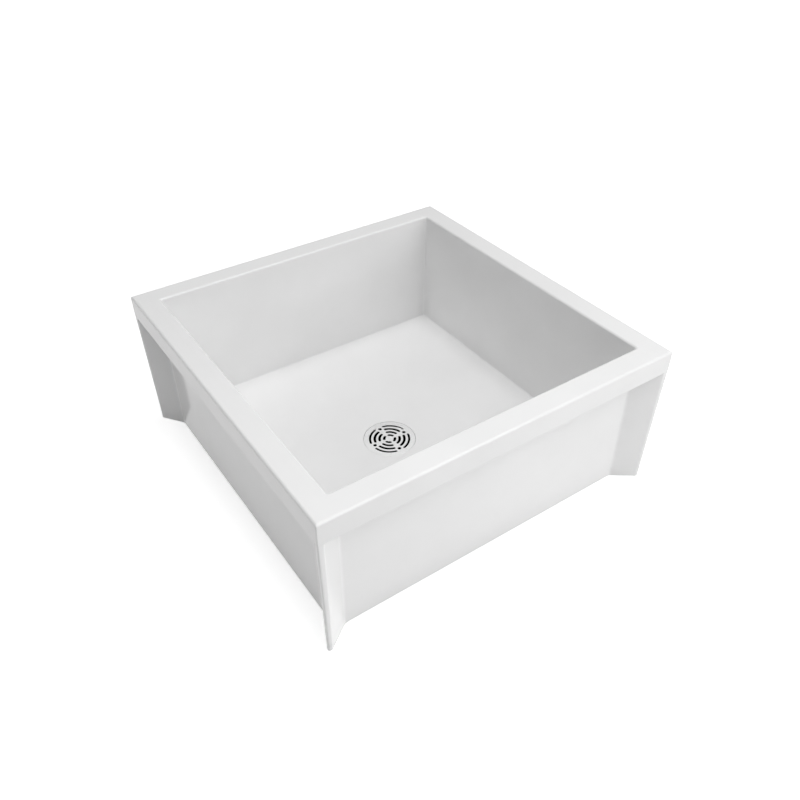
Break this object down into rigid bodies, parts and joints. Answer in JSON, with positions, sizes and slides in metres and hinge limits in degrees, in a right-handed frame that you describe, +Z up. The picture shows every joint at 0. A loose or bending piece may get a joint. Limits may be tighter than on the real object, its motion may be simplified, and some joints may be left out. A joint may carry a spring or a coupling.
{
  "type": "mop service sink",
  "caption": "Square floor mop service sink: deep moulded basin with a flat rim, corner fins and a dished floor round a centred drain with a lift-out slotted strainer.",
  "frame": {"origin": "middle of the plane that the basin stands on, under the centre of the drain", "axes": "+Z up, -Y the front, +X to the right of someone facing the front"},
  "size_m": [0.6096, 0.6096, 0.254],
  "materials": {
    "basin_moulding": "white moulded composite, satin gloss",
    "drain_steel": "stainless, fine turned",
    "strainer_steel": "stainless, satin",
    "fastener_steel": "stainless, plain",
    "seal_rubber": "black rubber, matt"
  },
  "bodies": {
    "basin": {"basin": "basin_moulding", "drain_body": "drain_steel", "drain_body_gasket": "seal_rubber", "pipe_seal": "seal_rubber", "seal_retaining_ring": "drain_steel", "retainer_screw_1": "fastener_steel", "retainer_screw_2": "fastener_steel", "retainer_screw_3": "fastener_steel", "retainer_screw_4": "fastener_steel", "retainer_screw_5": "fastener_steel", "retainer_screw_6": "fastener_steel"},
    "strainer": {"strainer_plate": "strainer_steel", "strainer_leg_1": "strainer_steel", "strainer_leg_2": "strainer_steel", "strainer_leg_3": "strainer_steel", "strainer_leg_4": "strainer_steel"}
  },
  "joints": [
    {"name": "strainer_lift", "type": "slide", "parent": "basin", "child": "strainer", "axis": [0, 0, 1], "range_m": [0, 0.26]}
  ]
}
